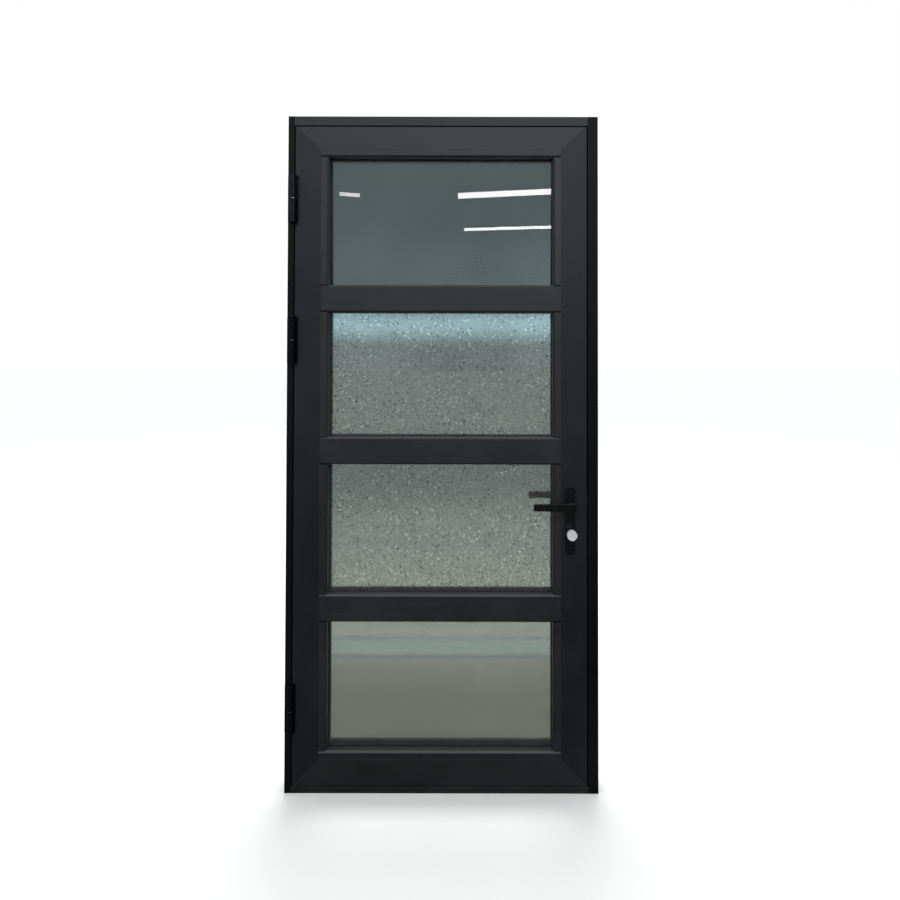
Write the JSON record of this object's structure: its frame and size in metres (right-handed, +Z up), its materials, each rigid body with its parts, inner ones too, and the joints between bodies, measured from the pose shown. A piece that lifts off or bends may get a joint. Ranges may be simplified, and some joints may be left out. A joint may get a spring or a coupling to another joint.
{
  "type": "glass door",
  "caption": "Narrow-profile aluminium door with sealed glass panes between level rails, hung on barrel hinges in its own frame, with lever handles and a thumb turn lock",
  "frame": {"origin": "middle of the sill's underside, half way through the frame's depth", "axes": "+X from the hinge side to the lock side, seen from the front, +Z up, and the front with the hinges faces -Y"},
  "size_m": [1.016, 0.165, 2.2],
  "materials": {
    "powder_coat": "matte anthracite powder coat",
    "glass": "clear with dust and dried water spots",
    "rubber": "matte black",
    "spacer": "matte black",
    "plastic": "matte black",
    "black_gloss": "satin black",
    "nickel": "satin nickel",
    "raw_aluminium": "mill finish",
    "steel": "zinc plated"
  },
  "bodies": {
    "frame": {"frame_head": "powder_coat", "frame_jamb_hinge": "powder_coat", "frame_jamb_lock": "powder_coat", "frame_sill": "powder_coat", "frame_corner_blocks": "raw_aluminium", "frame_corner_screws": "steel", "frame_seal": "rubber", "strike_plate": "steel", "strike_screws": "steel", "hinge_frame_wings": "black_gloss", "hinge_frame_screws": "black_gloss", "hinge_pins": "nickel", "hinge_washers": "steel", "hinge_bottom_caps": "black_gloss"},
    "leaf": {"stile_hinge": "powder_coat", "stile_lock": "powder_coat", "rail_top": "powder_coat", "rail_bottom": "powder_coat", "mid_rail_1": "powder_coat", "mid_rail_2": "powder_coat", "mid_rail_3": "powder_coat", "leaf_corner_cleats": "raw_aluminium", "mid_rail_blocks": "raw_aluminium", "mid_rail_screws": "steel", "beads_1": "powder_coat", "beads_2": "powder_coat", "beads_3": "powder_coat", "beads_4": "powder_coat", "outer_pane_1": "glass", "outer_pane_2": "glass", "outer_pane_3": "glass", "outer_pane_4": "glass", "inner_pane_1": "glass", "inner_pane_2": "glass", "inner_pane_3": "glass", "inner_pane_4": "glass", "pane_spacers": "spacer", "front_gaskets": "rubber", "back_gaskets": "rubber", "setting_blocks": "plastic", "hinge_leaf_wings": "black_gloss", "hinge_leaf_screws": "black_gloss", "hinge_top_caps": "black_gloss", "lock_case": "steel", "lock_faceplate": "steel", "lock_screws": "steel", "cylinder_body": "nickel", "handle_plate_front": "black_gloss", "handle_plate_back": "black_gloss", "handle_plate_screws": "steel"},
    "handle": {"lever_front": "black_gloss", "lever_back": "black_gloss", "spindle": "steel", "lock_follower": "steel"},
    "latch": {"latch_bolt": "nickel"},
    "bolt": {"deadbolt": "nickel"},
    "turn": {"thumb_turn": "nickel", "turn_plug": "nickel"},
    "key": {"key_plug": "nickel"}
  },
  "joints": [
    {"name": "door_swing", "type": "hinge", "parent": "frame", "child": "leaf", "pos_m": [-0.487, -0.045, 1.1], "axis": [0, 0, -1], "range_deg": [0, 105]},
    {"name": "lever_turn", "type": "hinge", "parent": "leaf", "child": "handle", "pos_m": [0.417, 0, 0.934], "axis": [0, -1, 0], "range_deg": [0, 40], "stiffness_Nm_per_rad": 1.5, "springref_deg": -17.19},
    {"name": "latch_slide", "type": "slide", "parent": "leaf", "child": "latch", "axis": [-1, 0, 0], "range_m": [0, 0.0126]},
    {"name": "thumb_turn_rotate", "type": "hinge", "parent": "leaf", "child": "turn", "pos_m": [0.417, -0.04, 0.842], "axis": [0, 1, 0], "range_deg": [0, 360]},
    {"name": "bolt_slide", "type": "slide", "parent": "leaf", "child": "bolt", "axis": [1, 0, 0], "range_m": [0, 0.02]},
    {"name": "key_rotate", "type": "hinge", "parent": "leaf", "child": "key", "pos_m": [0.417, 0.04, 0.842], "axis": [0, 1, 0], "range_deg": [0, 360]}
  ],
  "couplings": [
    {"joint": "latch_slide", "follows": "lever_turn", "m_per_rad": 0.0179},
    {"joint": "thumb_turn_rotate", "follows": "bolt_slide", "rad_per_m": 314}
  ]
}
